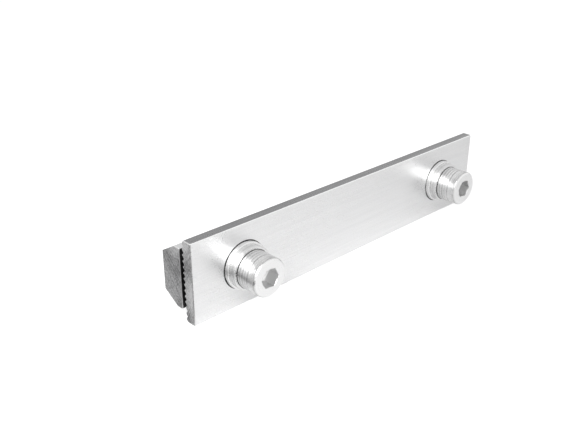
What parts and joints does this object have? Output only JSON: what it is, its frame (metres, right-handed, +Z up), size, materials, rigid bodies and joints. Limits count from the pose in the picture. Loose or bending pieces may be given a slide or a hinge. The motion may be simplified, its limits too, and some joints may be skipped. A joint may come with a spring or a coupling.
{
  "type": "solar rail connector",
  "caption": "Clamp connector for slotted solar rails: a toothed plate and a backing bar drawn together by socket head screws with washers.",
  "frame": {"origin": "mid-length of the clamp plate, at the height of the screws, on the plane where the side of the rail meets the roots of the plate's teeth", "axes": "+X along the rails to the right as seen from the screw heads, +Y from the clamp plate into the rail, +Z up"},
  "size_m": [0.14, 0.028, 0.028],
  "materials": {
    "plate_aluminium": "brushed along the length, satin",
    "bar_aluminium": "extruded mill finish",
    "washer_steel": "stamped stainless steel, bright",
    "spring_steel": "rolled stainless spring wire, bright",
    "screw_steel": "turned stainless steel, bright"
  },
  "bodies": {
    "root": {"clamp_plate": "plate_aluminium", "backing_bar": "bar_aluminium", "left_flat_washer": "washer_steel", "left_spring_washer": "spring_steel", "left_screw": "screw_steel", "right_flat_washer": "washer_steel", "right_spring_washer": "spring_steel", "right_screw": "screw_steel"}
  },
  "joints": []
}
